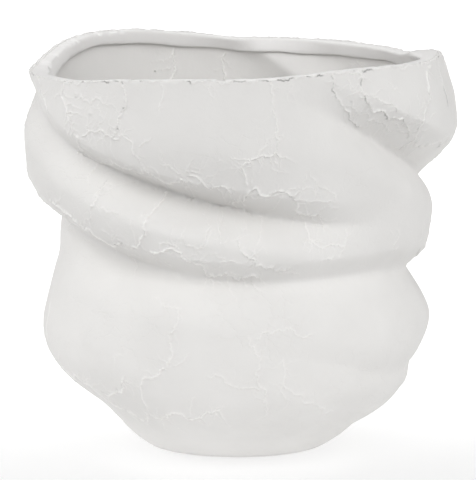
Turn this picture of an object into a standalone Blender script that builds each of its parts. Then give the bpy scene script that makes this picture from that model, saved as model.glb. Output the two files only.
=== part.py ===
"""A folded stoneware pot with a crackled slip coat, built as the pieces it is made of.

The pot is thrown round and then twisted while soft. Its surface is a smooth body, set by a few radii at each
height, with slanting creases pressed into it. Heights and radii are in millimetres; azimuths are in degrees,
counted from +X (the right side) through +Y (the back). The vertices are placed in metres, +Z up, with the
origin under the middle of the pot, on the table.
"""

import math

import bmesh
import bpy
import numpy as np

MM = 0.001

# Driving dimensions, in millimetres.
GAP = 0.3            # clearance between neighbouring pieces
COAT = 2.0           # thickness of the slip coat
WALL = 5.3           # thickness of the clay wall at the mouth
WALL_FOOT = 11.0     # thickness of the clay wall where it meets the floor
WALL_TAPER = 70.0    # height over which the wall thins from its foot
WALL_SWELL = (95, 218, 7, 50, 32)    # where the wall is thicker: azimuth, height, by how much, half widths
CAP = 5.0            # height of the rim band above the clay wall
LIP = 10.0           # how far the rim band comes down inside the mouth
LIP_THICK = 3.0      # thickness of the rim band inside the mouth
CORNER_LIPS = [(1, 8, 6), (183, 4, 8)]   # azimuth, how much thicker the lip is there, half width in degrees
LIP_ROUND = 1.0      # rounding of the rim band's inner top edge
PAD_RADIUS = 8.0
PAD_HEIGHT = 1.2
PAD_CIRCLE = 38.0    # radius of the circle that the pads sit on
PAD_COUNT = 4
FOOT_TOP = 19.0      # the groove above the foot is at this height
FLOOR_TOP = 31.0     # the inside floor

# How finely the pot is divided.
COLUMNS = 60
BODY_ROWS = 26
PAD_SIDES = 20

# The body: height, then its radius at the right, left, front and back.
LEVELS = [
    (-15, 43, 44, 36, 40),
    (0, 58, 61, 50, 54),
    (18, 87, 83, 84, 86),
    (36, 109, 96, 107, 106),
    (54, 121, 123, 122, 122),
    (72, 129, 135, 130, 131),
    (92, 135, 137, 134, 135),
    (115, 131, 131, 137, 135),
    (140, 132, 125, 137, 134),
    (165, 135, 136, 139, 137),
    (195, 143, 147, 144, 142),
    (224, 153, 149, 146, 142),
    (250, 149, 142, 145, 137),
    (285, 135, 144, 143, 133),
]

# The uneven mouth: azimuth and height of the rim.
RIM = [
    (0, 277.5), (10, 276.5), (18, 274.5), (27, 269), (32, 271), (45, 272), (70, 273.5), (90, 273.5),
    (100, 276), (115, 279.5), (127, 282), (140, 282), (152, 278.5), (160, 273), (170, 267.5), (180, 265),
    (200, 267), (217, 268), (235, 272.5), (255, 275), (280, 276), (297, 279), (310, 279.5), (325, 278),
    (345, 277),
]

# The corners of the mouth: azimuth, height, how far each stands out, and its half width in degrees and mm.
CORNERS = [(3, 290, 3, 10, 45), (182, 275, 4, 14, 12)]

# Each crease: azimuth, height, depth, and its width above and below its bottom line.
# A crease's overhang is the share of its depth that lies under the fold above it, and that part's height.
CREASES = {
    "lapel": [
        (155, 268, 0, 12, 24), (168, 260, 3, 12, 24), (180, 250, 5, 14, 24), (188, 243.5, 6, 16, 24),
        (200, 232.5, 11, 24, 24), (210, 221.5, 16, 32, 23), (219, 213, 23, 38, 22), (228, 205, 30, 44, 22),
        (238, 198.5, 36, 50, 22), (250, 192, 38, 54, 23), (262, 187, 37, 54, 24), (272, 183, 34, 54, 24),
        (282, 179, 29, 54, 24), (290, 176.5, 22, 54, 25), (298, 174, 10, 50, 26), (310, 172, 0, 50, 28),
    ],
    "waist": [
        (0, 126, 16, 30, 34), (30, 133, 14, 30, 32), (60, 146, 11, 30, 30), (90, 158, 9, 30, 30),
        (120, 168, 9, 30, 30), (150, 172, 12, 30, 34), (185, 166, 16, 32, 42), (205, 160, 19, 34, 36),
        (217, 153, 22, 34, 34), (231, 146, 24, 34, 34), (244, 142, 24, 34, 34), (258, 138, 23, 34, 34),
        (270, 136, 21, 34, 36), (282, 136, 16, 34, 36), (296, 137, 12, 34, 36), (310, 137.5, 12, 34, 36),
        (325, 136.5, 14, 34, 36), (340, 132, 15, 32, 34),
    ],
    "shoulder": [
        (276, 268, 0, 40, 30), (286, 260, 1, 40, 30), (293, 252, 6, 36, 30), (302, 241, 15, 34, 30),
        (315, 229, 27, 38, 30), (324, 220, 30, 40, 30), (333, 212, 29, 42, 30), (348, 200, 23, 44, 30),
        (0, 191, 18, 44, 30), (25, 176, 15, 40, 30), (50, 170, 10, 34, 30), (75, 168, 5, 30, 30),
        (95, 168, 0, 30, 30),
    ],
    "back": [
        (24, 192, 0, 30, 30), (36, 200, 4, 30, 30), (50, 215, 8, 30, 30), (65, 240, 9, 30, 30),
        (80, 262, 9, 30, 30), (91, 274, 6, 30, 30), (106, 285, 0, 30, 30),
    ],
    "hip": [
        (270, 97, 0, 20, 20), (290, 86, 1.5, 20, 20), (320, 66, 3.5, 22, 20), (336, 62, 5, 24, 18),
        (0, 60, 5, 26, 16), (20, 58, 6, 26, 20), (50, 60, 6, 26, 20), (90, 70, 5, 26, 20),
        (130, 85, 3, 26, 20), (160, 95, 0, 26, 20),
    ],
    "foot": [
        (0, 18, 5, 22, 14), (60, 18, 5, 22, 14), (120, 19, 3, 22, 14), (180, 21, 1, 22, 14),
        (225, 20, 3, 22, 14), (270, 20, 4.5, 22, 14), (315, 19, 5, 22, 14),
    ],
}
OVERHANG = {"lapel": (0.45, 15), "waist": (0.5, 14), "shoulder": (0.55, 20)}
CREASE_ROUND = 2.0      # radius of a crease's bottom
CREASE_POWER = 2.2      # how quickly a crease's sides ease out
OVERHANG_POWER = 1.15   # how evenly an underside slopes
MEAN_RADIUS = 145.0     # turns a crease's climb per degree into a slope
EASE_DEGREES = 6.0      # how far the values around the pot are eased into each other
EASE_RIM = 3.0
EASE_HEIGHT = 5.0

COLOURS = {
    "slip_white": ((0.80, 0.79, 0.77), 0.85),
    "slip_band": ((0.84, 0.83, 0.81), 0.75),
    "clay_white": ((0.76, 0.75, 0.73), 0.9),
    "pad_grey": ((0.35, 0.34, 0.33), 0.95),
}


def eased(samples, step, ease):
    """Samples blurred by a bell curve whose width is ease, in the same unit as step."""
    offsets = np.arange(-3 * ease, 3 * ease + step, step)
    weights = np.exp(-0.5 * (offsets / ease) ** 2)
    return np.convolve(samples, weights / weights.sum(), mode="valid")


def around(keys, column, azimuth, ease=EASE_DEGREES):
    """One column of a list of keys, eased around the pot and read at each azimuth."""
    step = 0.5
    places = [key[0] for key in keys]
    values = [key[column] for key in keys]
    reach = 3 * ease
    grid = np.arange(-reach, 360 + reach + step, step)
    smooth = eased(np.interp(grid, places, values, period=360), step, ease)
    return np.interp(np.asarray(azimuth) % 360, np.arange(len(smooth)) * step, smooth)


def along(column, height):
    """One column of the body's levels, eased in height and read at each height."""
    heights = [level[0] for level in LEVELS]
    radii = [level[column] for level in LEVELS]
    reach = 3 * EASE_HEIGHT
    low, high = -20.0, 300.0
    grid = np.arange(low - reach, high + reach + 1.0, 1.0)
    smooth = eased(np.interp(grid, heights, radii), 1.0, EASE_HEIGHT)
    return np.interp(height, low + np.arange(len(smooth)), smooth)


def body_radius(azimuth, height):
    """The body without its creases: a quarter ellipse between each two sides."""
    across = np.cos(np.radians(azimuth))
    deep = np.sin(np.radians(azimuth))
    side = np.where(across > 0, along(1, height), along(2, height))
    face = np.where(deep < 0, along(3, height), along(4, height))
    return 1.0 / np.sqrt((across / side) ** 2 + (deep / face) ** 2)


def crease_depth(name, azimuth, height):
    """How far one crease is pressed in: round at the bottom, eased sides, and the fold's steep underside."""
    keys = CREASES[name]
    share, overhang = OVERHANG.get(name, (0, 1))
    climb = (around(keys, 1, azimuth + 1) - around(keys, 1, azimuth - 1)) / (2 * math.radians(MEAN_RADIUS))
    tilt = np.sqrt(1 + climb**2)
    above = height - around(keys, 1, azimuth)
    width = np.where(above > 0, around(keys, 3, azimuth), around(keys, 4, azimuth)) * tilt
    distance = np.hypot(above, CREASE_ROUND)
    reach = np.clip(distance / width, 0, 1)
    gentle = (1 - reach) ** CREASE_POWER * (1 + 0.3 * reach)
    steep = np.clip(1 - (distance - CREASE_ROUND) / (overhang * tilt), 0, 1) ** OVERHANG_POWER
    share = share * np.clip(above / CREASE_ROUND, 0, 1)
    return around(keys, 2, azimuth) * ((1 - share) * gentle + share * steep)


def outer_radius(azimuth, height):
    """Radius of the coat's outer face."""
    radius = body_radius(azimuth, height)
    for name in CREASES:
        radius = radius - crease_depth(name, azimuth, height)
    for place, level, stand_out, half_turn, half_height in CORNERS:
        turn = (azimuth - place + 180) % 360 - 180
        spread = (turn / half_turn) ** 2 + ((height - level) / half_height) ** 2
        radius = radius + stand_out * np.exp(-spread)
    return radius


def rim_height(azimuth):
    """Height of the mouth's top edge."""
    return around(RIM, 1, azimuth, EASE_RIM)


def lip_thickness(azimuth):
    """Thickness of the rim band's lip: it fills the mouth's two corners."""
    thickness = LIP_THICK
    for place, more, half_turn in CORNER_LIPS:
        turn = (azimuth - place + 180) % 360 - 180
        thickness = thickness + more * np.exp(-((turn / half_turn) ** 2))
    return thickness


def wall_face(azimuth, height):
    """Radius of the clay wall's inner face: the wall thickens towards the floor and swells at the back."""
    low = np.clip(1 - (height - FOOT_TOP) / WALL_TAPER, 0, 1)
    thickness = WALL + (WALL_FOOT - WALL) * low**2
    place, level, swell, half_turn, half_height = WALL_SWELL
    turn = (azimuth - place + 180) % 360 - 180
    thickness = thickness + swell * np.exp(-((turn / half_turn) ** 2) - ((height - level) / half_height) ** 2)
    return outer_radius(azimuth, height) - COAT - GAP - thickness


def azimuths():
    return np.arange(COLUMNS) * (360.0 / COLUMNS)


def body_heights(azimuth):
    """Row heights from the seat on the foot to the bottom of the rim band, for the coat and the wall."""
    first = FLOOR_TOP + GAP
    last = rim_height(azimuth) - LIP
    rows = [np.full_like(azimuth, FOOT_TOP + GAP)]
    for row in range(BODY_ROWS + 1):
        rows.append(first + (last - first) * row / BODY_ROWS)
    return rows


def new_material(name):
    colour, roughness = COLOURS[name]
    material = bpy.data.materials.new(name)
    material.use_nodes = True
    shader = material.node_tree.nodes["Principled BSDF"]
    shader.inputs["Base Color"].default_value = (*colour, 1.0)
    shader.inputs["Roughness"].default_value = roughness
    return material


def add_object(name, mesh, material, collection):
    mesh.materials.append(material)
    piece = bpy.data.objects.new(name, mesh)
    collection.objects.link(piece)
    return piece


def ring_points(azimuth, radius, height):
    """One ring of points around the pot, in metres."""
    turn = np.radians(azimuth)
    return np.stack([radius * np.cos(turn), radius * np.sin(turn), height + 0 * turn], axis=1) * MM


def loft(name, rings, closed):
    """Skins a stack of rings. Closed joins the last ring to the first, else both ends get a centre point.

    Going up the rings has to be going up the outer side. Every cell's diagonal falls the same way around the
    pot, as most creases do, so two pieces that share their rows stay the same distance apart.
    """
    points = [tuple(point) for ring in rings for point in ring]
    faces = []
    spans = len(rings) if closed else len(rings) - 1
    for row in range(spans):
        follower = (row + 1) % len(rings)
        rising = rings[follower][:, 2].mean() >= rings[row][:, 2].mean()
        for column in range(COLUMNS):
            after = (column + 1) % COLUMNS
            near, near_after = row * COLUMNS + column, row * COLUMNS + after
            far, far_after = follower * COLUMNS + column, follower * COLUMNS + after
            if rising:
                faces += [(near, near_after, far), (near_after, far_after, far)]
            else:
                faces += [(near, near_after, far_after), (near, far_after, far)]
    if not closed:
        top = len(points) - COLUMNS
        for ring, first, flip in ((rings[0], 0, True), (rings[-1], top, False)):
            hub = len(points)
            points.append(tuple(ring.mean(axis=0)))
            for column in range(COLUMNS):
                edge = (first + column, first + (column + 1) % COLUMNS)
                faces.append((edge[1], edge[0], hub) if flip else (edge[0], edge[1], hub))
    mesh = bpy.data.meshes.new(name)
    mesh.from_pydata(points, [], faces)
    mesh.validate()
    mesh.shade_smooth()
    return mesh


def make_coat(collection, material):
    """The slip coat: a thin skin from the foot's groove to the top of the rim."""
    azimuth = azimuths()
    rows = body_heights(azimuth)
    rows.append(rim_height(azimuth) - CAP - GAP)
    rows.append(rim_height(azimuth))
    outside = [ring_points(azimuth, outer_radius(azimuth, row), row) for row in rows]
    inside = [ring_points(azimuth, outer_radius(azimuth, row) - COAT, row) for row in rows]
    return add_object("slip_coat", loft("slip_coat", outside + inside[::-1], True), material, collection)


def make_wall(collection, material):
    """The clay wall: it stands on the foot inside the coat and ends under the rim band."""
    azimuth = azimuths()
    rows = body_heights(azimuth)
    rows.append(rim_height(azimuth) - CAP - GAP)
    outside = [ring_points(azimuth, outer_radius(azimuth, row) - COAT - GAP, row) for row in rows]
    inside = [ring_points(azimuth, wall_face(azimuth, row), row) for row in rows]
    return add_object("clay_wall", loft("clay_wall", outside + inside[::-1], True), material, collection)


def make_rim_band(collection, material):
    """The rim band: it caps the wall and hangs inside the mouth, in front of the wall's inner face."""
    azimuth = azimuths()
    top = rim_height(azimuth)
    cap = top - CAP
    bottom = top - LIP
    face_top = wall_face(azimuth, top) - GAP - lip_thickness(azimuth)
    outline = [
        (outer_radius(azimuth, cap) - COAT - GAP, cap),
        (outer_radius(azimuth, top) - COAT - GAP, top),
        (face_top + LIP_ROUND, top),
        (face_top, top - LIP_ROUND),
        (wall_face(azimuth, bottom) - GAP - lip_thickness(azimuth), bottom),
        (wall_face(azimuth, bottom) - GAP, bottom),
        (wall_face(azimuth, cap) - GAP, cap),
    ]
    rings = [ring_points(azimuth, radius, height) for radius, height in outline]
    return add_object("rim_band", loft("rim_band", rings, True), material, collection)


def make_foot(collection, material):
    """The foot: a low round block, a little wider at the top, with a flat underside."""
    azimuth = azimuths()
    bottom = PAD_HEIGHT + GAP
    rings = []
    for height in (bottom, (bottom + FOOT_TOP) / 2, FOOT_TOP):
        rings.append(ring_points(azimuth, outer_radius(azimuth, height), height))
    return add_object("foot_disc", loft("foot_disc", rings, False), material, collection)


def make_floor(collection, material):
    """The inside floor: a slab that plugs the bottom of the clay wall."""
    azimuth = azimuths()
    rings = []
    for height in (FOOT_TOP + GAP, FLOOR_TOP):
        rings.append(ring_points(azimuth, wall_face(azimuth, height) - GAP, height))
    return add_object("floor_slab", loft("floor_slab", rings, False), material, collection)


def make_pads(collection, material):
    """The pads under the foot, evenly spaced between the main directions."""
    for index in range(PAD_COUNT):
        turn = 2 * math.pi * (index + 0.5) / PAD_COUNT
        shape = bmesh.new()
        bmesh.ops.create_cone(
            shape, cap_ends=True, segments=PAD_SIDES,
            radius1=PAD_RADIUS * MM, radius2=PAD_RADIUS * MM, depth=PAD_HEIGHT * MM,
        )
        name = f"foot_pad_{index + 1}"
        mesh = bpy.data.meshes.new(name)
        shape.to_mesh(mesh)
        shape.free()
        pad = add_object(name, mesh, material, collection)
        pad.location = (
            PAD_CIRCLE * MM * math.cos(turn), PAD_CIRCLE * MM * math.sin(turn), PAD_HEIGHT * MM / 2,
        )


def main():
    for leftover in list(bpy.data.objects):
        bpy.data.objects.remove(leftover, do_unlink=True)
    collection = bpy.data.collections.new("folded_pot")
    bpy.context.scene.collection.children.link(collection)
    slip = new_material("slip_white")
    band = new_material("slip_band")
    clay = new_material("clay_white")
    pad = new_material("pad_grey")
    make_coat(collection, slip)
    make_wall(collection, clay)
    make_rim_band(collection, band)
    make_foot(collection, slip)
    make_floor(collection, clay)
    make_pads(collection, pad)


main()
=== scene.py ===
"""The looks of the folded pot: its crackled coat, the inside, the rim band, the foot and the inside floor.

The pot's surface is the same formula as in the CAD model, in millimetres and degrees, read here on a fine
grid. Cracks are paths of azimuth and height on it. They are roughened, given side twigs, and worked into the
mesh as grooves with lifted edges.
"""

import math

import bmesh
import bpy
import numpy as np
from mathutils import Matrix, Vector
from mathutils.kdtree import KDTree


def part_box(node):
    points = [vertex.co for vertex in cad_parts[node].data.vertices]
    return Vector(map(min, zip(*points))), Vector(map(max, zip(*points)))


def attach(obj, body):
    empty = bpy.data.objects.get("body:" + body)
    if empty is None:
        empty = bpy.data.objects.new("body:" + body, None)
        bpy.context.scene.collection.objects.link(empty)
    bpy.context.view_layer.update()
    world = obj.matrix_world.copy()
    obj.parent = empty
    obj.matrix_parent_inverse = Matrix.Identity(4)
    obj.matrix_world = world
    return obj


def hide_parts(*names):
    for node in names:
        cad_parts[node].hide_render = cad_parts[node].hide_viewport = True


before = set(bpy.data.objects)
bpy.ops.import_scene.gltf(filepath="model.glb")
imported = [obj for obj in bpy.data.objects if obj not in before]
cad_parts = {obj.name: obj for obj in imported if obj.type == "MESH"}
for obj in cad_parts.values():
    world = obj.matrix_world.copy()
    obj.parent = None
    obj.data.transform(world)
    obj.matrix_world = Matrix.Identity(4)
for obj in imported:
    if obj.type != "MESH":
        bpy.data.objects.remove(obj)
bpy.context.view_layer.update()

MM = 0.001

# The pot's pieces, in millimetres, as in the CAD model.
COAT = 2.0
WALL = 5.3
WALL_FOOT = 11.0
WALL_TAPER = 70.0
WALL_SWELL = (95, 218, 7, 50, 32)    # azimuth, height, how much thicker the wall is there, half widths
CAP = 5.0
LIP = 10.0
LIP_THICK = 3.0
# The lip's thick corners: azimuth, how much thicker it is there, and half width in degrees.
CORNER_LIPS = [(1, 12, 8), (183, 5, 8)]
SEAM = 0.05          # hairline left between neighbouring pieces
FOOT_TOP = 19.0
FLOOR_TOP = 31.0
FOOT_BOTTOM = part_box("foot_disc")[0].z / MM
COAT_BOTTOM = FOOT_BOTTOM + 2.5      # the coat's skin reaches down over the foot's side

# The soft lights: name, degrees round from the front to the left, degrees above level, and strength.
LIGHTS = [
    ("front_light", 0, 32, 1.66),
    ("left_front_light", 50, 32, 0.36),
    ("right_front_light", -50, 32, 0.62),
    ("left_light", 100, 32, 1.15),
    ("right_light", -100, 32, 0.65),
    ("back_light", 180, 60, 0.74),
]
LIGHT_SPREAD = 50       # how wide each light looks, in degrees
# How brightly the floor glows: how far behind the pot's middle, in metres, and the glow there.
FLOOR_GLOW = [(-0.45, 0.1), (-0.2, 0.5), (0.0, 0.62), (0.2, 0.95)]

# The camera: its place in metres, how many degrees it looks down, and its lens in mm.
CAMERA_PLACE = (0, -2.4, 0.558)
CAMERA_DIP = 9.76
CAMERA_LENS = 263.3

# The body: height, then its radius at the right, left, front and back.
LEVELS = [
    (-15, 43, 44, 36, 40),
    (0, 58, 61, 50, 54),
    (18, 87, 83, 84, 86),
    (36, 109, 96, 107, 106),
    (54, 121, 123, 122, 122),
    (72, 129, 135, 130, 131),
    (92, 135, 137, 134, 135),
    (115, 131, 131, 137, 135),
    (140, 132, 125, 137, 134),
    (165, 135, 136, 139, 137),
    (195, 143, 147, 144, 142),
    (224, 153, 149, 146, 142),
    (250, 149, 142, 145, 137),
    (285, 135, 144, 143, 133),
]

# The uneven mouth: azimuth and height of the rim.
RIM = [
    (0, 277.5), (10, 276.5), (18, 274.5), (27, 269), (32, 271), (45, 272), (70, 273.5), (90, 273.5),
    (100, 276), (115, 279.5), (127, 282), (140, 282), (152, 278.5), (160, 273), (170, 267.5), (180, 265),
    (200, 267), (217, 268), (235, 272.5), (255, 275), (280, 276), (297, 279), (310, 279.5), (325, 278),
    (345, 277),
]

# The corners of the mouth: azimuth, height, how far each stands out, and its half width in degrees and mm.
CORNERS = [(3, 290, 3, 10, 45), (182, 275, 4, 14, 12)]

# Each crease: azimuth, height, depth, and its width above and below its bottom line.
# A crease's overhang is the share of its depth that lies under the fold above it, and that part's height.
CREASES = {
    "lapel": [
        (155, 268, 0, 12, 24), (168, 260, 3, 12, 24), (180, 250, 5, 14, 24), (188, 243.5, 6, 16, 24),
        (200, 232.5, 11, 24, 24), (210, 221.5, 16, 32, 23), (219, 213, 23, 38, 22), (228, 205, 30, 44, 22),
        (238, 198.5, 36, 50, 22), (250, 192, 38, 54, 23), (262, 187, 37, 54, 24), (272, 183, 34, 54, 24),
        (282, 179, 29, 54, 24), (290, 176.5, 22, 54, 25), (298, 174, 10, 50, 26), (310, 172, 0, 50, 28),
    ],
    "waist": [
        (0, 126, 16, 30, 34), (30, 133, 14, 30, 32), (60, 146, 11, 30, 30), (90, 158, 9, 30, 30),
        (120, 168, 9, 30, 30), (150, 172, 12, 30, 34), (185, 166, 16, 32, 42), (205, 160, 19, 34, 36),
        (217, 153, 22, 34, 34), (231, 146, 24, 34, 34), (244, 142, 24, 34, 34), (258, 138, 23, 34, 34),
        (270, 136, 21, 34, 36), (282, 136, 16, 34, 36), (296, 137, 12, 34, 36), (310, 137.5, 12, 34, 36),
        (325, 136.5, 14, 34, 36), (340, 132, 15, 32, 34),
    ],
    "shoulder": [
        (276, 268, 0, 40, 30), (286, 260, 1, 40, 30), (293, 252, 6, 36, 30), (302, 241, 15, 34, 30),
        (315, 229, 27, 38, 30), (324, 220, 30, 40, 30), (333, 212, 29, 42, 30), (348, 200, 23, 44, 30),
        (0, 191, 18, 44, 30), (25, 176, 15, 40, 30), (50, 170, 10, 34, 30), (75, 168, 5, 30, 30),
        (95, 168, 0, 30, 30),
    ],
    "back": [
        (24, 192, 0, 30, 30), (36, 200, 4, 30, 30), (50, 215, 8, 30, 30), (65, 240, 9, 30, 30),
        (80, 262, 9, 30, 30), (91, 274, 6, 30, 30), (106, 285, 0, 30, 30),
    ],
    "hip": [
        (270, 97, 0, 20, 20), (290, 86, 1.5, 20, 20), (320, 66, 3.5, 22, 20), (336, 62, 5, 24, 18),
        (0, 60, 5, 26, 16), (20, 58, 6, 26, 20), (50, 60, 6, 26, 20), (90, 70, 5, 26, 20),
        (130, 85, 3, 26, 20), (160, 95, 0, 26, 20),
    ],
    "foot": [
        (0, 18, 5, 22, 14), (60, 18, 5, 22, 14), (120, 19, 3, 22, 14), (180, 21, 1, 22, 14),
        (225, 20, 3, 22, 14), (270, 20, 4.5, 22, 14), (315, 19, 5, 22, 14),
    ],
}
OVERHANG = {"lapel": (0.45, 15), "waist": (0.5, 14), "shoulder": (0.55, 20)}
CREASE_ROUND = 2.0      # radius of a crease's bottom
CREASE_POWER = 2.2      # how quickly a crease's sides ease out
OVERHANG_POWER = 1.15   # how evenly an underside slopes
MEAN_RADIUS = 145.0     # turns a crease's climb per degree into a slope
EASE_DEGREES = 6.0      # how far the values around the pot are eased into each other
EASE_RIM = 3.0
EASE_HEIGHT = 5.0

# Mesh fineness, in millimetres.
DEGREE = math.radians(MEAN_RADIUS)      # length of one degree around the pot
COAT_CELL = 2.4
INSIDE_CELL = 3.0
HIDDEN_CELL = 4.0
# Within the first distance of a crack, edges longer than the second are halved.
REFINE = [(3.0, 1.8), (1.4, 0.9), (0.8, 0.6)]

# Cracks at the front: strength, width, how far they stand open, and the path's azimuths and heights.
CRACKS = [
    (1.0, 0.8, 1.0, [(216, 268), (214, 257), (217, 247), (219, 239), (222, 230), (215, 219)]),
    (0.8, 0.6, 0.8, [(238, 272), (239, 261), (238, 253), (237, 241), (235, 233)]),
    (0.5, 0.6, 0.3, [(249, 274), (250, 263), (249, 252)]),
    (0.4, 0.5, 0.0, [(263, 275), (264, 263)]),
    (0.5, 0.6, 0.0, [(278, 276), (279, 262), (280, 246), (280, 232), (281, 216)]),
    (0.3, 0.5, 0.0, [(284, 276), (284, 259)]),
    (0.7, 0.6, 0.4, [(296, 279), (297, 264), (303, 248), (309, 239)]),
    (1.0, 0.7, 0.6, [(304, 279), (305, 264), (308, 255), (318, 244), (329, 225)]),
    (0.8, 0.7, 0.2, [(339, 279), (332, 253), (329, 233), (331, 218)]),
    (0.5, 0.6, 0.0, [(222, 257), (227, 255), (234, 256)]),
    (0.9, 0.7, 0.2, [(223, 232), (227, 237), (232, 237), (235, 233), (241, 232), (242, 222), (244, 214)]),
    (1.0, 0.9, 0.3, [
        (222, 230), (214, 219), (219, 215), (232, 217), (237, 212), (243, 214), (247, 204), (256, 207),
    ]),
    (0.9, 0.7, 0.2, [(256, 211), (259, 210), (261, 204), (267, 203), (269, 198)]),
    (1.0, 1.0, 0.3, [(268, 189), (274, 202), (277, 198), (284, 199), (288, 185), (294, 183)]),
    (0.9, 0.8, 0.2, [(273, 204), (272, 212), (271, 218), (276, 226), (280, 228), (281, 223)]),
    (0.5, 0.6, 0.0, [(274, 204), (274, 211)]),
    (0.5, 0.6, 0.0, [(285, 193), (289, 194), (291, 191)]),
    (0.6, 0.6, 0.0, [(256, 211), (257, 219), (258, 224)]),
    (1.0, 0.9, 0.8, [(205, 182), (212, 179), (217, 173), (223, 168), (224, 163), (229, 158), (235, 163)]),
    (0.7, 0.7, 0.2, [(227, 201), (228, 190), (226, 180), (224, 170)]),
    (0.9, 0.7, 0.3, [(244, 197), (245, 187), (244, 173), (242, 167), (240, 160), (237, 158)]),
    (0.9, 0.8, 0.2, [(244, 159), (250, 161), (254, 159), (258, 152), (260, 142), (268, 143), (277, 142)]),
    (0.6, 0.6, 0.0, [(262, 177), (261, 173), (260, 165), (258, 160)]),
    (0.9, 0.7, 0.2, [(270, 168), (272, 158), (275, 151), (280, 150), (286, 148)]),
    (0.5, 0.6, 0.0, [(275, 154), (277, 143)]),
    (0.5, 0.6, 0.0, [(291, 178), (291, 167), (294, 161), (302, 158)]),
    (0.4, 0.6, 0.0, [(272, 179), (271, 171)]),
    (0.55, 0.7, 0.0, [
        (251, 123), (252, 107), (251, 89), (249, 80), (245, 73), (239, 65), (238, 55), (237, 44),
    ]),
    (0.4, 0.5, 0.0, [(256, 92), (254, 85), (250, 81)]),
    (0.4, 0.6, 0.0, [(232, 87), (231, 77)]),
    (0.9, 0.8, 0.2, [(234, 71), (232, 61), (227, 56), (220, 53)]),
    (0.8, 0.8, 0.2, [
        (197, 63), (208, 60), (214, 57), (217, 50), (219, 41), (235, 42), (253, 41), (260, 48), (264, 50),
    ]),
    (0.5, 0.65, 0.0, [(273, 104), (275, 93), (275, 78), (277, 67), (278, 56), (280, 46)]),
    (0.4, 0.6, 0.0, [(283, 88), (284, 76), (283, 66), (287, 55)]),
    (0.35, 0.5, 0.0, [(260, 75), (266, 71), (272, 67), (278, 65)]),
    (0.45, 0.6, 0.0, [(282, 70), (287, 61), (292, 53), (298, 48), (305, 44)]),
    (0.4, 0.6, 0.0, [(275, 101), (277, 106), (281, 107), (286, 106), (292, 103)]),
    (0.7, 0.6, 0.2, [(308, 262), (311, 257), (315, 255), (318, 248)]),
    (0.6, 0.6, 0.2, [(302, 259), (305, 251), (310, 243), (316, 240), (321, 233)]),
    (0.5, 0.5, 0.0, [(318, 241), (323, 234), (327, 230)]),
]
INSIDE_CRACKS = [
    (0.7, 0.7, 0, [(112, 268), (111, 250), (113, 232), (112, 205)]),
    (0.7, 0.7, 0, [(94, 264), (95, 250), (93, 236), (94, 215)]),
    (0.6, 0.6, 0, [(50, 262), (51, 240), (49, 220)]),
    (0.6, 0.6, 0, [(250, 264), (251, 240), (249, 222)]),
    (0.6, 0.6, 0, [(310, 268), (309, 240), (312, 220)]),
    (0.6, 0.6, 0, [(200, 254), (202, 235), (200, 214)]),
]

# Webs of fine cracks under the folds: crease, first and last azimuth, height above it, spread, and how many.
WEBS = [
    ("lapel", 214, 296, 18, 9, 34), ("waist", 205, 300, 18, 8, 30), ("shoulder", 296, 340, 22, 9, 16),
    ("waist", 300, 560, 15, 8, 50), ("shoulder", 340, 430, 16, 8, 16), ("back", 36, 98, 16, 8, 14),
]

# A crack's lifted edge and its open groove at full strength, and how far the coat curls up towards it.
LIFT = 1.15
GROOVE = 1.2
PLATE = 0.25

# Blisters of the coat: azimuth, height, radius and how far they stand out.
BLISTERS = [
    (221, 260, 2.0, 0.9), (227, 249, 1.9, 0.8), (219, 243, 1.6, 0.6), (220, 251, 1.2, 0.4),
    (60, 236, 1.8, 0.7), (64, 245, 1.5, 0.5), (140, 120, 1.8, 0.6), (20, 84, 1.6, 0.5),
]


# ---- the pot's surface ----

def eased(samples, step, ease):
    """Samples blurred by a bell curve whose width is ease, in the same unit as step."""
    offsets = np.arange(-3 * ease, 3 * ease + step, step)
    weights = np.exp(-0.5 * (offsets / ease) ** 2)
    return np.convolve(samples, weights / weights.sum(), mode="valid")


def around(keys, column, azimuth, ease=EASE_DEGREES):
    """One column of a list of keys, eased around the pot and read at each azimuth."""
    step = 0.5
    places = [key[0] for key in keys]
    values = [key[column] for key in keys]
    reach = 3 * ease
    grid = np.arange(-reach, 360 + reach + step, step)
    smooth = eased(np.interp(grid, places, values, period=360), step, ease)
    return np.interp(np.asarray(azimuth) % 360, np.arange(len(smooth)) * step, smooth)


def along(column, height):
    """One column of the body's levels, eased in height and read at each height."""
    heights = [level[0] for level in LEVELS]
    radii = [level[column] for level in LEVELS]
    reach = 3 * EASE_HEIGHT
    low, high = -20.0, 300.0
    grid = np.arange(low - reach, high + reach + 1.0, 1.0)
    smooth = eased(np.interp(grid, heights, radii), 1.0, EASE_HEIGHT)
    return np.interp(height, low + np.arange(len(smooth)), smooth)


def body_radius(azimuth, height):
    """The body without its creases: a quarter ellipse between each two sides."""
    across = np.cos(np.radians(azimuth))
    deep = np.sin(np.radians(azimuth))
    side = np.where(across > 0, along(1, height), along(2, height))
    face = np.where(deep < 0, along(3, height), along(4, height))
    return 1.0 / np.sqrt((across / side) ** 2 + (deep / face) ** 2)


def crease_depth(name, azimuth, height):
    """How far one crease is pressed in, with rounded bottom and sides that ease out."""
    keys = CREASES[name]
    share, overhang = OVERHANG.get(name, (0, 1))
    climb = (around(keys, 1, azimuth + 1) - around(keys, 1, azimuth - 1)) / (2 * DEGREE)
    tilt = np.sqrt(1 + climb**2)
    above = height - around(keys, 1, azimuth)
    width = np.where(above > 0, around(keys, 3, azimuth), around(keys, 4, azimuth)) * tilt
    distance = np.hypot(above, CREASE_ROUND)
    reach = np.clip(distance / width, 0, 1)
    gentle = (1 - reach) ** CREASE_POWER * (1 + 0.3 * reach)
    steep = np.clip(1 - (distance - CREASE_ROUND) / (overhang * tilt), 0, 1) ** OVERHANG_POWER
    share = share * np.clip(above / CREASE_ROUND, 0, 1)
    return around(keys, 2, azimuth) * ((1 - share) * gentle + share * steep)


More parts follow.
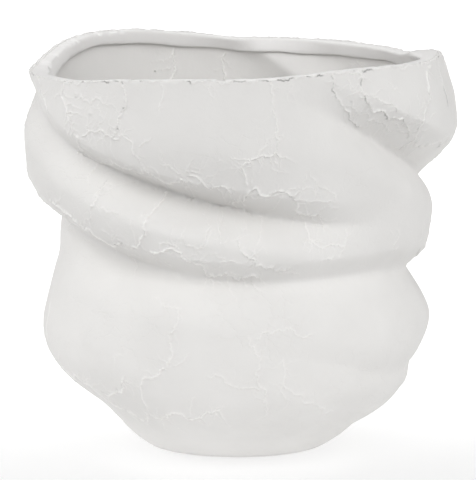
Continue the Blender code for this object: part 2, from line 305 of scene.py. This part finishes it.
def outer_radius(azimuth, height):
    """Radius of the coat's outer face."""
    radius = body_radius(azimuth, height)
    for name in CREASES:
        radius = radius - crease_depth(name, azimuth, height)
    for place, level, stand_out, half_turn, half_height in CORNERS:
        turn = (azimuth - place + 180) % 360 - 180
        spread = (turn / half_turn) ** 2 + ((height - level) / half_height) ** 2
        radius = radius + stand_out * np.exp(-spread)
    return radius


def rim_height(azimuth):
    """Height of the mouth's top edge."""
    return around(RIM, 1, azimuth, EASE_RIM)


def wall_face(azimuth, height):
    """Radius of the clay wall's inner face: the wall thickens towards the floor and swells at the back."""
    low = np.clip(1 - (height - FOOT_TOP) / WALL_TAPER, 0, 1)
    thickness = WALL + (WALL_FOOT - WALL) * low**2
    place, level, swell, half_turn, half_height = WALL_SWELL
    turn = (azimuth - place + 180) % 360 - 180
    thickness = thickness + swell * np.exp(-((turn / half_turn) ** 2) - ((height - level) / half_height) ** 2)
    return outer_radius(azimuth, height) - COAT - thickness


def lip_thickness(azimuth):
    """Thickness of the band's lip: it fills the mouth's two corners."""
    thickness = LIP_THICK
    for place, more, half_turn in CORNER_LIPS:
        turn = (azimuth - place + 180) % 360 - 180
        thickness = thickness + more * np.exp(-((turn / half_turn) ** 2))
    return thickness


def to_space(azimuth, radius, height):
    """Points in metres."""
    turn = np.radians(azimuth)
    return np.stack([radius * np.cos(turn), radius * np.sin(turn), height + 0 * turn], axis=1) * MM


def lumps(points, seed, wavelengths, height):
    """A gentle unevenness: a few waves in random directions, in metres."""
    rng = np.random.default_rng(seed)
    total = np.zeros(len(points))
    for wavelength in wavelengths:
        for _ in range(5):
            direction = rng.normal(size=3)
            direction *= 2 * math.pi / (wavelength * MM * np.linalg.norm(direction))
            total += np.sin(points @ direction + rng.uniform(0, 2 * math.pi))
    return total * height * MM / math.sqrt(5 * len(wavelengths))


# ---- cracks ----

def roughened(path, rng, finest=0.8, roughness=0.13):
    """A path whose segments are halved until they are short, each time pushed aside a little."""
    points = np.array(path, float)
    while True:
        steps = np.diff(points, axis=0)
        lengths = np.hypot(steps[:, 0], steps[:, 1])
        if lengths.max() < finest:
            return points
        normals = np.stack([-steps[:, 1], steps[:, 0]], axis=1)
        middles = (points[:-1] + points[1:]) / 2 + normals * rng.normal(0, roughness, (len(steps), 1))
        grown = np.empty((len(points) + len(middles), 2))
        grown[0::2] = points
        grown[1::2] = middles
        points = grown


def wandering(start, heading, length, rng, step=4.0, turn=0.45):
    """A path that starts out on a heading and wanders."""
    points = [start]
    for _ in range(max(2, round(length / step))):
        heading += rng.normal(0, turn)
        last = points[-1]
        points.append((last[0] + step * math.cos(heading), last[1] + step * math.sin(heading)))
    return points


def twigs(points, rng, spacing):
    """Short side cracks that leave a crack at random places."""
    found = []
    for _ in range(rng.poisson(len(points) * 0.6 / spacing)):
        index = rng.integers(1, len(points) - 1)
        ahead = points[index + 1] - points[index - 1]
        side = rng.choice([-1, 1]) * rng.uniform(0.6, 1.5)
        heading = math.atan2(ahead[1], ahead[0]) + side
        found.append(wandering(tuple(points[index]), heading, rng.uniform(5, 22), rng, step=2.5))
    return found


def gaps_along(count, rng):
    """Where a crack stands open: a few stretches of it, from 0 to 1."""
    knots = rng.random(count // 14 + 3)
    level = np.interp(np.arange(count) / 14, np.arange(len(knots)), knots)
    return np.clip((level - 0.62) / 0.15, 0, 1)


def crack_lines(cracks, seed, spacing=9):
    """Every crack and twig: its points around and up the pot in mm, with strength, gap and width."""
    rng = np.random.default_rng(seed)
    lines = []
    for strength, width, open_share, path in cracks:
        points = roughened([(azimuth * DEGREE, height) for azimuth, height in path], rng)
        ends = np.minimum(np.arange(len(points)), np.arange(len(points))[::-1])
        fade = np.clip(ends / 8, 0.2, 1) * rng.uniform(0.75, 1.1)
        lines.append((points, strength * fade, gaps_along(len(points), rng) * open_share, width))
        for twig in twigs(points, rng, spacing):
            branch = roughened(twig, rng)
            taper = np.linspace(0.6, 0.1, len(branch))
            lines.append((branch, strength * taper, 0 * taper, width * 0.7))
    return lines


def web_cracks(seed):
    """Fine cracks scattered under the folds."""
    rng = np.random.default_rng(seed)
    cracks = []
    for name, first, last, rise, spread, count in WEBS:
        for azimuth in rng.uniform(first, last, count):
            height = around(CREASES[name], 1, azimuth) + rise + rng.normal(0, spread)
            heading = rng.choice([0.1, math.pi / 2]) + rng.normal(0, 0.5)
            path = wandering((azimuth * DEGREE, float(height)), heading, rng.uniform(8, 26), rng, turn=0.6)
            cracks.append((rng.uniform(0.25, 0.6), 0.55, 0, [(x / DEGREE, z) for x, z in path]))
    return cracks


def rim_gap():
    """The broken dark line where the coat's edge meets the rim band: a crack whose open groove gets the
    painted shade.
    """
    places = np.arange(0, 361, 4)
    return [(0.5, 0.6, 0.8, [(place, float(rim_height(place)) - 0.3) for place in places])]


# Where the hidden sides' cracks follow a fold: crease, first and last azimuth, and height above it.
FOLD_CRACKS = [("waist", 345, 555, 13), ("shoulder", 330, 420, 14), ("back", 35, 100, 14)]


def hidden_side_cracks(seed):
    """Cracks for the sides and back: down from the rim, under the folds, and over the belly."""
    rng = np.random.default_rng(seed)
    cracks = []
    for azimuth in np.arange(350, 350 + 215, 13):
        place = (azimuth + rng.uniform(-4, 4)) % 360
        top = float(rim_height(place))
        path = wandering((place * DEGREE, top), -math.pi / 2, rng.uniform(20, 60), rng, step=7, turn=0.3)
        cracks.append((rng.uniform(0.4, 0.9), 0.7, 0.5, path))
    for name, first, last, rise in FOLD_CRACKS:
        azimuth = first
        while azimuth < last:
            span = min(rng.uniform(14, 38), last - azimuth)
            places = np.arange(azimuth, azimuth + span + 1, 5)
            heights = around(CREASES[name], 1, places) + rise + rng.normal(0, 2.5, len(places))
            path = [(place * DEGREE, height) for place, height in zip(places, heights)]
            if len(path) > 1:
                cracks.append((rng.uniform(0.6, 1.0), 0.8, 0.3, path))
            azimuth += span + rng.uniform(2, 9)
    for azimuth in np.arange(345, 345 + 215, 17):
        start = ((azimuth + rng.uniform(-6, 6)) * DEGREE, rng.uniform(70, 110))
        heading = -math.pi / 2 + rng.uniform(-0.7, 0.7)
        strength = rng.uniform(0.4, 0.8)
        cracks.append((strength, 0.7, 0, wandering(start, heading, rng.uniform(20, 55), rng, step=8)))
    return [(*crack[:3], [(x / DEGREE, z) for x, z in crack[3]]) for crack in cracks]


class CrackField:
    """The crack nearest to each point of a surface, and what it does to the surface there."""

    def __init__(self, lines, radius_at, blisters=()):
        places, strengths, gaps, widths, runs = [], [], [], [], []
        for points, strength, gap, width in lines:
            azimuth = points[:, 0] / DEGREE
            space = to_space(azimuth, radius_at(azimuth, points[:, 1]), points[:, 1])
            places.append(space)
            strengths.append(strength)
            gaps.append(gap)
            widths.append(np.full(len(points), width))
            runs.append(np.gradient(space, axis=0))
        self.blisters = []
        for azimuth, height, radius, rise in blisters:
            place = to_space(np.array([azimuth]), radius_at(np.array([azimuth]), np.array([height])), height)
            self.blisters.append((place[0], radius, rise))
            places.append(place)
            strengths.append(np.zeros(1))
            gaps.append(np.zeros(1))
            widths.append(np.ones(1))
            runs.append(np.array([[0, 0, 1.0]]))
        self.places = np.concatenate(places)
        self.strengths = np.concatenate(strengths)
        self.gaps = np.concatenate(gaps)
        self.widths = np.concatenate(widths)
        self.runs = np.concatenate(runs)
        self.tree = KDTree(len(self.places))
        for index, place in enumerate(self.places):
            self.tree.insert(place, index)
        self.tree.balance()

    def nearest(self, points):
        """For each point, the nearest crack sample's number and how far it is, in mm."""
        found = [self.tree.find(point) for point in points]
        return np.array([hit[1] for hit in found]), np.array([hit[2] for hit in found]) / MM

    def shape(self, points, normals):
        """How far each point moves out, in mm, and how much it is core and lifted edge, from 0 to 1."""
        index, distance = self.nearest(points)
        strength, width = self.strengths[index], self.widths[index]
        across = np.cross(self.runs[index], points - self.places[index])
        side = np.where((across * normals).sum(axis=1) > 0, distance, -distance)
        core = self.gaps[index] * np.exp(-(((side + 0.45 * width) / (0.5 * width)) ** 2))
        edge = strength * np.exp(-(((side - 0.2 * width) / (0.65 * width)) ** 2))
        plate = strength * np.exp(-np.abs(side) / 3)
        move = LIFT * edge + PLATE * plate - GROOVE * core
        for place, radius, rise in self.blisters:
            away = np.linalg.norm(points - place, axis=1) / MM
            move += rise * np.exp(-((away / radius) ** 4))
        return move, core, edge


# ---- meshes ----

def sheet_grid(columns, rows):
    """A flat grid: x is the azimuth in mm around the pot, y is the row value in mm, both ends included."""
    shape = bmesh.new()
    grid = []
    for row in rows:
        places = [column * 360 / columns * DEGREE for column in range(columns + 1)]
        grid.append([shape.verts.new((place, row, 0)) for place in places])
    for low, high in zip(grid[:-1], grid[1:]):
        for column in range(columns):
            shape.faces.new((low[column], low[column + 1], high[column + 1], high[column]))
    return shape


def coordinates(shape):
    return np.array([vert.co[:] for vert in shape.verts], float)


def refined(shape, place, field, last_row):
    """Halves the grid's edges near cracks, up to the row where the visible face ends."""
    for distance_limit, length_limit in REFINE:
        shape.verts.ensure_lookup_table()
        flat = coordinates(shape)
        space = place(flat[:, 0] / DEGREE, flat[:, 1])
        near = np.zeros(len(flat), bool)
        candidates = np.flatnonzero(flat[:, 1] <= last_row + 0.5)
        near[candidates] = field.nearest(space[candidates])[1] < distance_limit
        shape.verts.index_update()
        edges = []
        for edge in shape.edges:
            first, second = edge.verts[0].index, edge.verts[1].index
            if near[first] and near[second]:
                if np.linalg.norm(space[first] - space[second]) > length_limit * MM:
                    edges.append(edge)
        bmesh.ops.subdivide_edges(shape, edges=edges, cuts=1, use_grid_fill=True)


def closed_mesh(name, shape, positions, weld=1e-7):
    """The grid moved into place, its seams welded and its faces turned outwards."""
    for vert, position in zip(shape.verts, positions):
        vert.co = position
    bmesh.ops.remove_doubles(shape, verts=shape.verts, dist=weld)
    bmesh.ops.dissolve_degenerate(shape, dist=weld, edges=shape.edges)
    bmesh.ops.triangulate(shape, faces=[face for face in shape.faces if len(face.verts) > 4])
    bmesh.ops.recalc_face_normals(shape, faces=shape.faces)
    mesh = bpy.data.meshes.new(name)
    shape.to_mesh(mesh)
    shape.free()
    mesh.shade_smooth()
    return mesh


def add_piece(name, mesh, material, slot, *nodes):
    mesh.materials.append(material)
    piece = bpy.data.objects.new(name, mesh)
    bpy.context.scene.collection.objects.link(piece)
    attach(piece, "root")
    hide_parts(*nodes)
    return piece


def mesh_arrays(mesh):
    points = np.zeros(len(mesh.vertices) * 3)
    mesh.vertices.foreach_get("co", points)
    normals = np.zeros(len(mesh.vertices) * 3)
    mesh.vertices.foreach_get("normal", normals)
    return points.reshape(-1, 3), normals.reshape(-1, 3)


def weather(mesh, field, visible, seed, wavelengths, unevenness):
    """Moves a mesh's visible points by its cracks and lumps, and keeps the cracks' masks for the material's
    painted shade in the grooves and painted highlight on the lifted edges.
    """
    points, normals = mesh_arrays(mesh)
    shown = visible(points)
    move, core, edge = field.shape(points, normals)
    move = move * MM + lumps(points, seed, wavelengths, unevenness)
    points += normals * (move * shown)[:, None]
    mesh.vertices.foreach_set("co", points.ravel())
    for label, values in (("crack_core_painted_shade", core * shown), ("crack_edge_painted_highlight", edge * shown)):
        layer = mesh.attributes.new(label, "FLOAT", "POINT")
        layer.data.foreach_set("value", np.clip(values, 0, 1))
    mesh.update()


def ramp_rows(first, last, cell):
    return list(np.linspace(first, last, max(2, round(abs(last - first) / cell) + 1)))


# Row values of the coat's sheet, in mm: up the outside, over the edge, and down the hidden side.
OUTSIDE = 260.0
EDGE = OUTSIDE + COAT
HIDDEN = EDGE + OUTSIDE


def coat_place(azimuth, row):
    """A point of the coat for an azimuth and a row value."""
    rim = rim_height(azimuth) + edge_wear(azimuth)
    up = np.clip(row / OUTSIDE, 0, 1)
    down = np.clip((row - EDGE) / OUTSIDE, 0, 1)
    height = COAT_BOTTOM + (rim - COAT_BOTTOM) * (up - down)
    inset = np.clip(row - OUTSIDE, 0, COAT) - np.clip(row - HIDDEN, 0, COAT)
    return to_space(azimuth, outer_radius(azimuth, height) - inset, height)


def edge_wear(azimuth):
    """The coat's torn top edge: small steps up and down around the rim."""
    rng = np.random.default_rng(5)
    places = np.arange(0, 360, 1.2)
    depth = -np.abs(rng.normal(0, 0.35, len(places)))
    deep = rng.random(len(places)) < 0.06
    depth[deep] -= rng.uniform(0.5, 1.3, deep.sum())
    return np.interp(azimuth % 360, places, depth, period=360)


def make_coat(material):
    """The crackled coat, from the foot's bottom edge to the rim."""
    lines = crack_lines(CRACKS, 1) + crack_lines(hidden_side_cracks(2), 3)
    lines += crack_lines(web_cracks(4), 5, spacing=30) + crack_lines(rim_gap(), 6, spacing=200)
    field = CrackField(lines, outer_radius, BLISTERS)
    columns = round(360 * DEGREE / COAT_CELL)
    rows = ramp_rows(0, OUTSIDE, COAT_CELL) + [OUTSIDE + COAT / 2] + ramp_rows(EDGE, HIDDEN, HIDDEN_CELL)
    rows.append(HIDDEN + COAT)
    shape = sheet_grid(columns, rows)
    refined(shape, coat_place, field, OUTSIDE)
    flat = coordinates(shape)
    mesh = closed_mesh("crackle_coat", shape, coat_place(flat[:, 0] / DEGREE, flat[:, 1]))

    def visible(points):
        azimuth = np.degrees(np.arctan2(points[:, 1], points[:, 0])) % 360
        height = points[:, 2] / MM
        depth = outer_radius(azimuth, height) - np.hypot(points[:, 0], points[:, 1]) / MM
        low_fade = np.clip((height - COAT_BOTTOM) / 4, 0, 1)
        return np.clip(1 - depth / (COAT * 0.6), 0, 1) * low_fade

    weather(mesh, field, visible, 7, (26, 48, 85), 0.22)
    return add_piece("crackle_coat", mesh, material, "slip_white", "slip_coat")


def make_inside(material):
    """The wall seen through the mouth. Its hidden side stays just behind the coat."""
    top_gap = CAP + SEAM
    field = CrackField(crack_lines(INSIDE_CRACKS, 11), wall_face)
    columns = round(360 * DEGREE / INSIDE_CELL)
    inner = 245.0
    thick = 5.0
    over = inner + thick
    rows = ramp_rows(0, inner, INSIDE_CELL) + ramp_rows(over, over + inner, HIDDEN_CELL)
    rows.append(over + inner + thick)

    def place(azimuth, row):
        rim = rim_height(azimuth) - top_gap
        base = FOOT_TOP + SEAM
        up = np.clip(row / inner, 0, 1)
        down = np.clip((row - over) / inner, 0, 1)
        height = base + (rim - base) * (up - down)
        across = np.clip((row - inner) / thick, 0, 1) - np.clip((row - over - inner) / thick, 0, 1)
        near, far = wall_face(azimuth, height), outer_radius(azimuth, height) - COAT - 2 * SEAM
        return to_space(azimuth, near + (far - near) * across, height)

    shape = sheet_grid(columns, rows)
    refined(shape, place, field, inner)
    flat = coordinates(shape)
    mesh = closed_mesh("pot_inside", shape, place(flat[:, 0] / DEGREE, flat[:, 1]))

    def visible(points):
        azimuth = np.degrees(np.arctan2(points[:, 1], points[:, 0])) % 360
        height = points[:, 2] / MM
        depth = np.hypot(points[:, 0], points[:, 1]) / MM - wall_face(azimuth, height)
        clear = np.clip((rim_height(azimuth) - LIP - 1 - height) / 4, 0, 1)
        return (depth < 1) * clear * np.clip((height - FLOOR_TOP) / 8, 0, 1)

    weather(mesh, field, visible, 8, (30, 55), 0.3)
    return add_piece("pot_inside", mesh, material, "clay_white", "clay_wall")


def make_rim_band(material):
    """The rim band: rounded over the wall, upright inside the mouth, with an undercut below."""
    columns = 900
    azimuth = np.arange(columns + 1) * 360 / columns
    top = rim_height(azimuth)
    hang = LIP + 0.5 * np.sin(np.radians(azimuth * 7)) + 0.35 * np.sin(np.radians(azimuth * 17 + 40))
    chips = rim_chips(azimuth)
    outside = outer_radius(azimuth, top) - COAT - SEAM
    face_top = wall_face(azimuth, top) - SEAM - lip_thickness(azimuth)
    face_low = wall_face(azimuth, top - hang) - SEAM - lip_thickness(azimuth)
    back_low = wall_face(azimuth, top - hang) - SEAM
    back_top = wall_face(azimuth, top - CAP) - SEAM
    drop = top - chips
    outline = [
        (outer_radius(azimuth, top - CAP) - COAT - SEAM, top - CAP),
        (outside, drop - 0.5),
        (outside - 0.5, drop - 0.1),
        (outside - 1.6, drop),
        ((outside + face_top) / 2, drop - 0.1),
        (face_top + 1.8, drop - 0.1),
        (face_top + 0.9, drop - 0.4),
        (face_top + 0.3, drop - 1.0),
        (face_top, top - 2.0),
        (face_top * 0.67 + face_low * 0.33 - 0.2, top - 0.35 * hang),
        (face_top * 0.33 + face_low * 0.67 - 0.2, top - 0.7 * hang),
        (face_low, top - hang + 1.0),
        (face_low + 0.35, top - hang + 0.3),
        (face_low + 1.0, top - hang),
        (back_low, top - hang + 0.2),
        (back_top, top - CAP),
    ]
    rings = [to_space(azimuth, radius, height) for radius, height in outline + outline[:1]]
    shape = sheet_grid(columns, range(len(rings)))
    mesh = closed_mesh("mouth_band", shape, np.concatenate(rings))
    points, normals = mesh_arrays(mesh)
    points += normals * lumps(points, 21, (9, 18, 34), 0.12)[:, None]
    mesh.vertices.foreach_set("co", points.ravel())
    mesh.update()
    return add_piece("mouth_band", mesh, material, "slip_band", "rim_band")


def rim_chips(azimuth):
    """Small chips in the rim's top edge, most of them at the back left."""
    rng = np.random.default_rng(9)
    depth = np.abs(rng.normal(0, 0.06, len(azimuth)))
    depth[-1] = depth[0]
    places = list(rng.uniform(132, 166, 11)) + list(rng.uniform(0, 360, 14))
    for place in places:
        turn = (azimuth - place + 180) % 360 - 180
        depth += rng.uniform(0.3, 1.0) * np.exp(-((turn / rng.uniform(0.4, 1.2)) ** 4))
    return depth


def make_foot(material):
    """The foot: a flat underside, a rounded bottom edge and a side that flares up to the groove."""
    columns = 360
    azimuth = np.arange(columns + 1) * 360 / columns
    edge = 2.5
    level = np.ones_like(azimuth)
    rings = [(0 * level, level * FOOT_BOTTOM)]
    bottom = outer_radius(azimuth, level * FOOT_BOTTOM)
    for share in (0.3, 0.6, 0.85):
        rings.append((share * (bottom - edge), level * FOOT_BOTTOM))
    for turn in np.radians((0, 22, 45, 68, 90)):
        height = FOOT_BOTTOM + edge * (1 - math.cos(turn))
        side = outer_radius(azimuth, level * height)
        rings.append((side - edge * (1 - math.sin(turn)), level * height))
    for height in np.linspace(COAT_BOTTOM, FOOT_TOP, 9):
        rings.append((outer_radius(azimuth, level * height) - COAT - SEAM, level * height))
    for share in (0.9, 0.5, 0):
        rings.append((share * (outer_radius(azimuth, level * FOOT_TOP) - COAT - SEAM), level * FOOT_TOP))
    space = [to_space(azimuth, radius, height) for radius, height in rings]
    mesh = closed_mesh("foot_block", sheet_grid(columns, range(len(space))), np.concatenate(space))
    points, normals = mesh_arrays(mesh)
    height = points[:, 2] / MM
    fade = np.clip((height - FOOT_BOTTOM) / 3, 0, 1) * np.clip((FOOT_TOP - 0.2 - height) / 3, 0, 1)
    points += normals * (fade * lumps(points, 31, (14, 30), 0.15))[:, None]
    mesh.vertices.foreach_set("co", points.ravel())
    mesh.update()
    return add_piece("foot_block", mesh, material, "slip_white", "foot_disc")


SPIRAL_STEP = 9.0       # from one groove of the floor's throwing spiral to the next


def make_floor(material):
    """The inside floor: dished, with a throwing spiral, and eased up into the wall."""
    columns = 240
    azimuth = np.arange(columns + 1) * 360 / columns
    level = np.ones_like(azimuth)
    base = FOOT_TOP + 2 * SEAM
    edge = wall_face(azimuth, level * FLOOR_TOP) - SEAM
    rings = [(0 * level, level * base), (wall_face(azimuth, level * base) - SEAM, level * base)]
    for share in np.linspace(1, 0, 60):
        swirl = np.sin(2 * math.pi * (share * edge / SPIRAL_STEP + azimuth / 360))
        ripple = 0.35 * swirl * min(1, 6 * share * (1 - share))
        rise = 2.2 * np.clip((share - 0.85) / 0.15, 0, 1) ** 2 - 1.2 * (1 - share**2)
        rings.append((share * edge, FLOOR_TOP + rise + ripple))
    space = [to_space(azimuth, radius, height) for radius, height in rings]
    mesh = closed_mesh("pot_floor", sheet_grid(columns, range(len(space))), np.concatenate(space))
    return add_piece("pot_floor", mesh, material, "clay_white", "floor_slab")


# ---- materials ----

def node(tree, kind, **values):
    """A shader node with its sockets set by name."""
    made = tree.nodes.new(kind)
    for name, value in values.items():
        made.inputs[name.replace("_", " ")].default_value = value
    return made


def noise(tree, coordinates_socket, scale, detail=4, stretch=(1, 1, 1)):
    mapping = node(tree, "ShaderNodeMapping")
    mapping.inputs["Scale"].default_value = stretch
    made = node(tree, "ShaderNodeTexNoise", Scale=scale, Detail=detail)
    tree.links.new(coordinates_socket, mapping.inputs["Vector"])
    tree.links.new(mapping.outputs["Vector"], made.inputs["Vector"])
    return made.outputs["Fac"]


def mixed(tree, factor, first, second):
    """A colour between two, by a factor socket or number."""
    mix = tree.nodes.new("ShaderNodeMix")
    mix.data_type = "RGBA"
    for name, value in (("Factor", factor), ("A", first), ("B", second)):
        socket = mix.inputs[name]
        if isinstance(value, bpy.types.NodeSocket):
            tree.links.new(value, socket)
        else:
            socket.default_value = value
    return mix.outputs["Result"]


def bump(tree, height, strength, distance, below=None):
    made = node(tree, "ShaderNodeBump", Strength=strength, Distance=distance)
    tree.links.new(height, made.inputs["Height"])
    if below:
        tree.links.new(below, made.inputs["Normal"])
    return made.outputs["Normal"]


def ramp(tree, factor, first, last):
    """Zero up to first, one from last on."""
    made = node(tree, "ShaderNodeMapRange", From_Min=first, From_Max=last)
    made.clamp = True
    tree.links.new(factor, made.inputs["Value"])
    return made.outputs["Result"]


def plaster(name, light, dark, roughness, hairlines, cracked):
    """Dry white slip: soft mottling, grain, hairline crackle, and on the cracks a painted highlight along
    their lifted edges and painted shade in their open grooves.
    """
    material = bpy.data.materials.new(name)
    material.use_nodes = True
    tree = material.node_tree
    shader = tree.nodes["Principled BSDF"]
    place = node(tree, "ShaderNodeTexCoord").outputs["Object"]
    mottle = ramp(tree, noise(tree, place, 22, 5), 0.35, 0.65)
    colour = mixed(tree, mottle, (*light, 1), (*dark, 1))
    if cracked:
        edge = attribute(tree, "crack_edge_painted_highlight")
        core = attribute(tree, "crack_core_painted_shade")
        # Painted highlight: lifted crack edges are coloured lighter, standing in for the light they catch.
        painted_highlight_tone = tuple(min(1, 1.25 * value) for value in light)
        # Painted shade: open crack grooves are coloured dark, standing in for the shade inside them.
        deep = tuple(0.3 * value for value in dark)
        colour = mixed(tree, edge, colour, (*painted_highlight_tone, 1))
        colour = mixed(tree, core, colour, (*deep, 1))
    tree.links.new(colour, shader.inputs["Base Color"])
    shader.inputs["Specular IOR Level"].default_value = 0.25
    rough = node(tree, "ShaderNodeMapRange", To_Min=roughness - 0.06, To_Max=roughness + 0.06)
    tree.links.new(mottle, rough.inputs["Value"])
    tree.links.new(rough.outputs["Result"], shader.inputs["Roughness"])
    relief = bump(tree, noise(tree, place, 420, 5), 0.35, 0.0004)
    relief = bump(tree, noise(tree, place, 90, 4), 0.3, 0.0008, relief)
    if hairlines:
        relief = hairline_bump(tree, place, hairlines, relief)
    tree.links.new(relief, shader.inputs["Normal"])
    return material


def attribute(tree, name):
    made = tree.nodes.new("ShaderNodeAttribute")
    made.attribute_name = name
    return made.outputs["Fac"]


def hairline_bump(tree, place, amount, below):
    """Fine crackle: the borders of distorted cells, in patches."""
    warp = node(tree, "ShaderNodeTexNoise", Scale=60, Detail=3)
    tree.links.new(place, warp.inputs["Vector"])
    shifted = mixed(tree, 0.02, place, warp.outputs["Color"])
    cells = node(tree, "ShaderNodeTexVoronoi", Scale=75)
    cells.feature = "DISTANCE_TO_EDGE"
    tree.links.new(shifted, cells.inputs["Vector"])
    line = ramp(tree, cells.outputs["Distance"], 0.0, 0.035)
    patch = ramp(tree, noise(tree, place, 14, 3), 0.48, 0.6)
    height = tree.nodes.new("ShaderNodeMath")
    height.operation = "MAXIMUM"
    open_patch = tree.nodes.new("ShaderNodeMath")
    open_patch.operation = "SUBTRACT"
    open_patch.inputs[0].default_value = 1
    tree.links.new(patch, open_patch.inputs[1])
    tree.links.new(line, height.inputs[0])
    tree.links.new(open_patch.outputs["Value"], height.inputs[1])
    return bump(tree, height.outputs["Value"], amount, 0.0004, below)


def felt(name):
    """Grey felt for the pads."""
    material = bpy.data.materials.new(name)
    material.use_nodes = True
    tree = material.node_tree
    shader = tree.nodes["Principled BSDF"]
    place = node(tree, "ShaderNodeTexCoord").outputs["Object"]
    fibre = noise(tree, place, 1400, 6)
    colour = mixed(tree, fibre, (0.28, 0.27, 0.26, 1), (0.42, 0.41, 0.40, 1))
    tree.links.new(colour, shader.inputs["Base Color"])
    shader.inputs["Roughness"].default_value = 0.95
    tree.links.new(bump(tree, fibre, 0.6, 0.0004), shader.inputs["Normal"])
    return material


# ---- the studio ----

def make_studio():
    """A pale floor that glows towards the back, a white surround that lights nothing, and the soft lights."""
    bpy.ops.mesh.primitive_circle_add(vertices=96, radius=12, fill_type="NGON", location=(0, 0, 0))
    floor = bpy.context.object
    floor.name = "studio_floor"
    floor.data.materials.append(floor_paint("studio_white"))
    world = bpy.data.worlds.new("studio")
    world.use_nodes = True
    world.node_tree.nodes["Background"].inputs["Color"].default_value = (1, 1, 1, 1)
    world.cycles_visibility.diffuse = False
    world.cycles_visibility.glossy = False
    bpy.context.scene.world = world
    for name, turn, climb, strength in LIGHTS:
        add_sun(name, turn, climb, strength)


def floor_paint(name):
    """Matt white whose glow depends on how far back the floor is."""
    material = bpy.data.materials.new(name)
    material.use_nodes = True
    tree = material.node_tree
    shader = tree.nodes["Principled BSDF"]
    shader.inputs["Base Color"].default_value = (0.4, 0.4, 0.4, 1)
    shader.inputs["Roughness"].default_value = 0.9
    shader.inputs["Emission Color"].default_value = (1, 1, 1, 1)
    split = node(tree, "ShaderNodeSeparateXYZ")
    tree.links.new(node(tree, "ShaderNodeTexCoord").outputs["Object"], split.inputs[0])
    first, last = FLOOR_GLOW[0][0], FLOOR_GLOW[-1][0]
    reach = node(tree, "ShaderNodeMapRange", From_Min=first, From_Max=last)
    tree.links.new(split.outputs["Y"], reach.inputs["Value"])
    glow = tree.nodes.new("ShaderNodeFloatCurve")
    curve = glow.mapping.curves[0]
    for point, (place, level) in zip(curve.points, (FLOOR_GLOW[0], FLOOR_GLOW[-1])):
        point.location = ((place - first) / (last - first), level)
    for place, level in FLOOR_GLOW[1:-1]:
        curve.points.new((place - first) / (last - first), level)
    glow.mapping.update()
    tree.links.new(reach.outputs["Result"], glow.inputs["Value"])
    tree.links.new(glow.outputs["Value"], shader.inputs["Emission Strength"])
    return material


def add_sun(name, turn, climb, strength):
    """A distant soft light, so many degrees round from the front to the left and above level."""
    side, front = math.sin(math.radians(turn)), math.cos(math.radians(turn))
    level, rise = math.cos(math.radians(climb)), math.sin(math.radians(climb))
    data = bpy.data.lights.new(name, "SUN")
    data.angle = math.radians(LIGHT_SPREAD)
    data.energy = strength
    light = bpy.data.objects.new(name, data)
    light.rotation_euler = Vector((-side * level, -front * level, rise)).to_track_quat("Z", "Y").to_euler()
    bpy.context.scene.collection.objects.link(light)


def make_camera():
    """A long lens, a little above the mouth, looking down at the pot."""
    data = bpy.data.cameras.new("camera")
    data.sensor_width = 36
    data.sensor_fit = "HORIZONTAL"
    data.lens = CAMERA_LENS
    camera = bpy.data.objects.new("camera", data)
    camera.location = CAMERA_PLACE
    camera.rotation_euler = (math.radians(90 - CAMERA_DIP), 0, 0)
    bpy.context.scene.collection.objects.link(camera)
    bpy.context.scene.camera = camera


# The clay's and coat's light and dark tones, in linear colour.
SLIP_TONES = (0.80, 0.79, 0.775), (0.77, 0.76, 0.745)
BAND_TONES = (0.83, 0.82, 0.81), (0.80, 0.79, 0.78)
CLAY_TONES = (0.79, 0.78, 0.765), (0.76, 0.75, 0.735)


def main():
    """Makes every piece, the studio and the camera."""
    slip = plaster("slip_white", *SLIP_TONES, 0.85, 0.35, True)
    foot = plaster("slip_foot", *SLIP_TONES, 0.85, 0, False)
    band = plaster("slip_band", *BAND_TONES, 0.75, 0, False)
    clay = plaster("clay_white", *CLAY_TONES, 0.9, 0, True)
    floor_clay = plaster("clay_floor", *CLAY_TONES, 0.9, 0, False)
    make_coat(slip)
    make_inside(clay)
    make_rim_band(band)
    make_foot(foot)
    make_floor(floor_clay)
    pad_felt = felt("pad_grey")
    for name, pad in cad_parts.items():
        if name.startswith("foot_pad"):
            pad.data.materials.clear()
            pad.data.materials.append(pad_felt)
    make_studio()
    make_camera()
    bpy.context.scene.view_settings.view_transform = "Standard"


main()
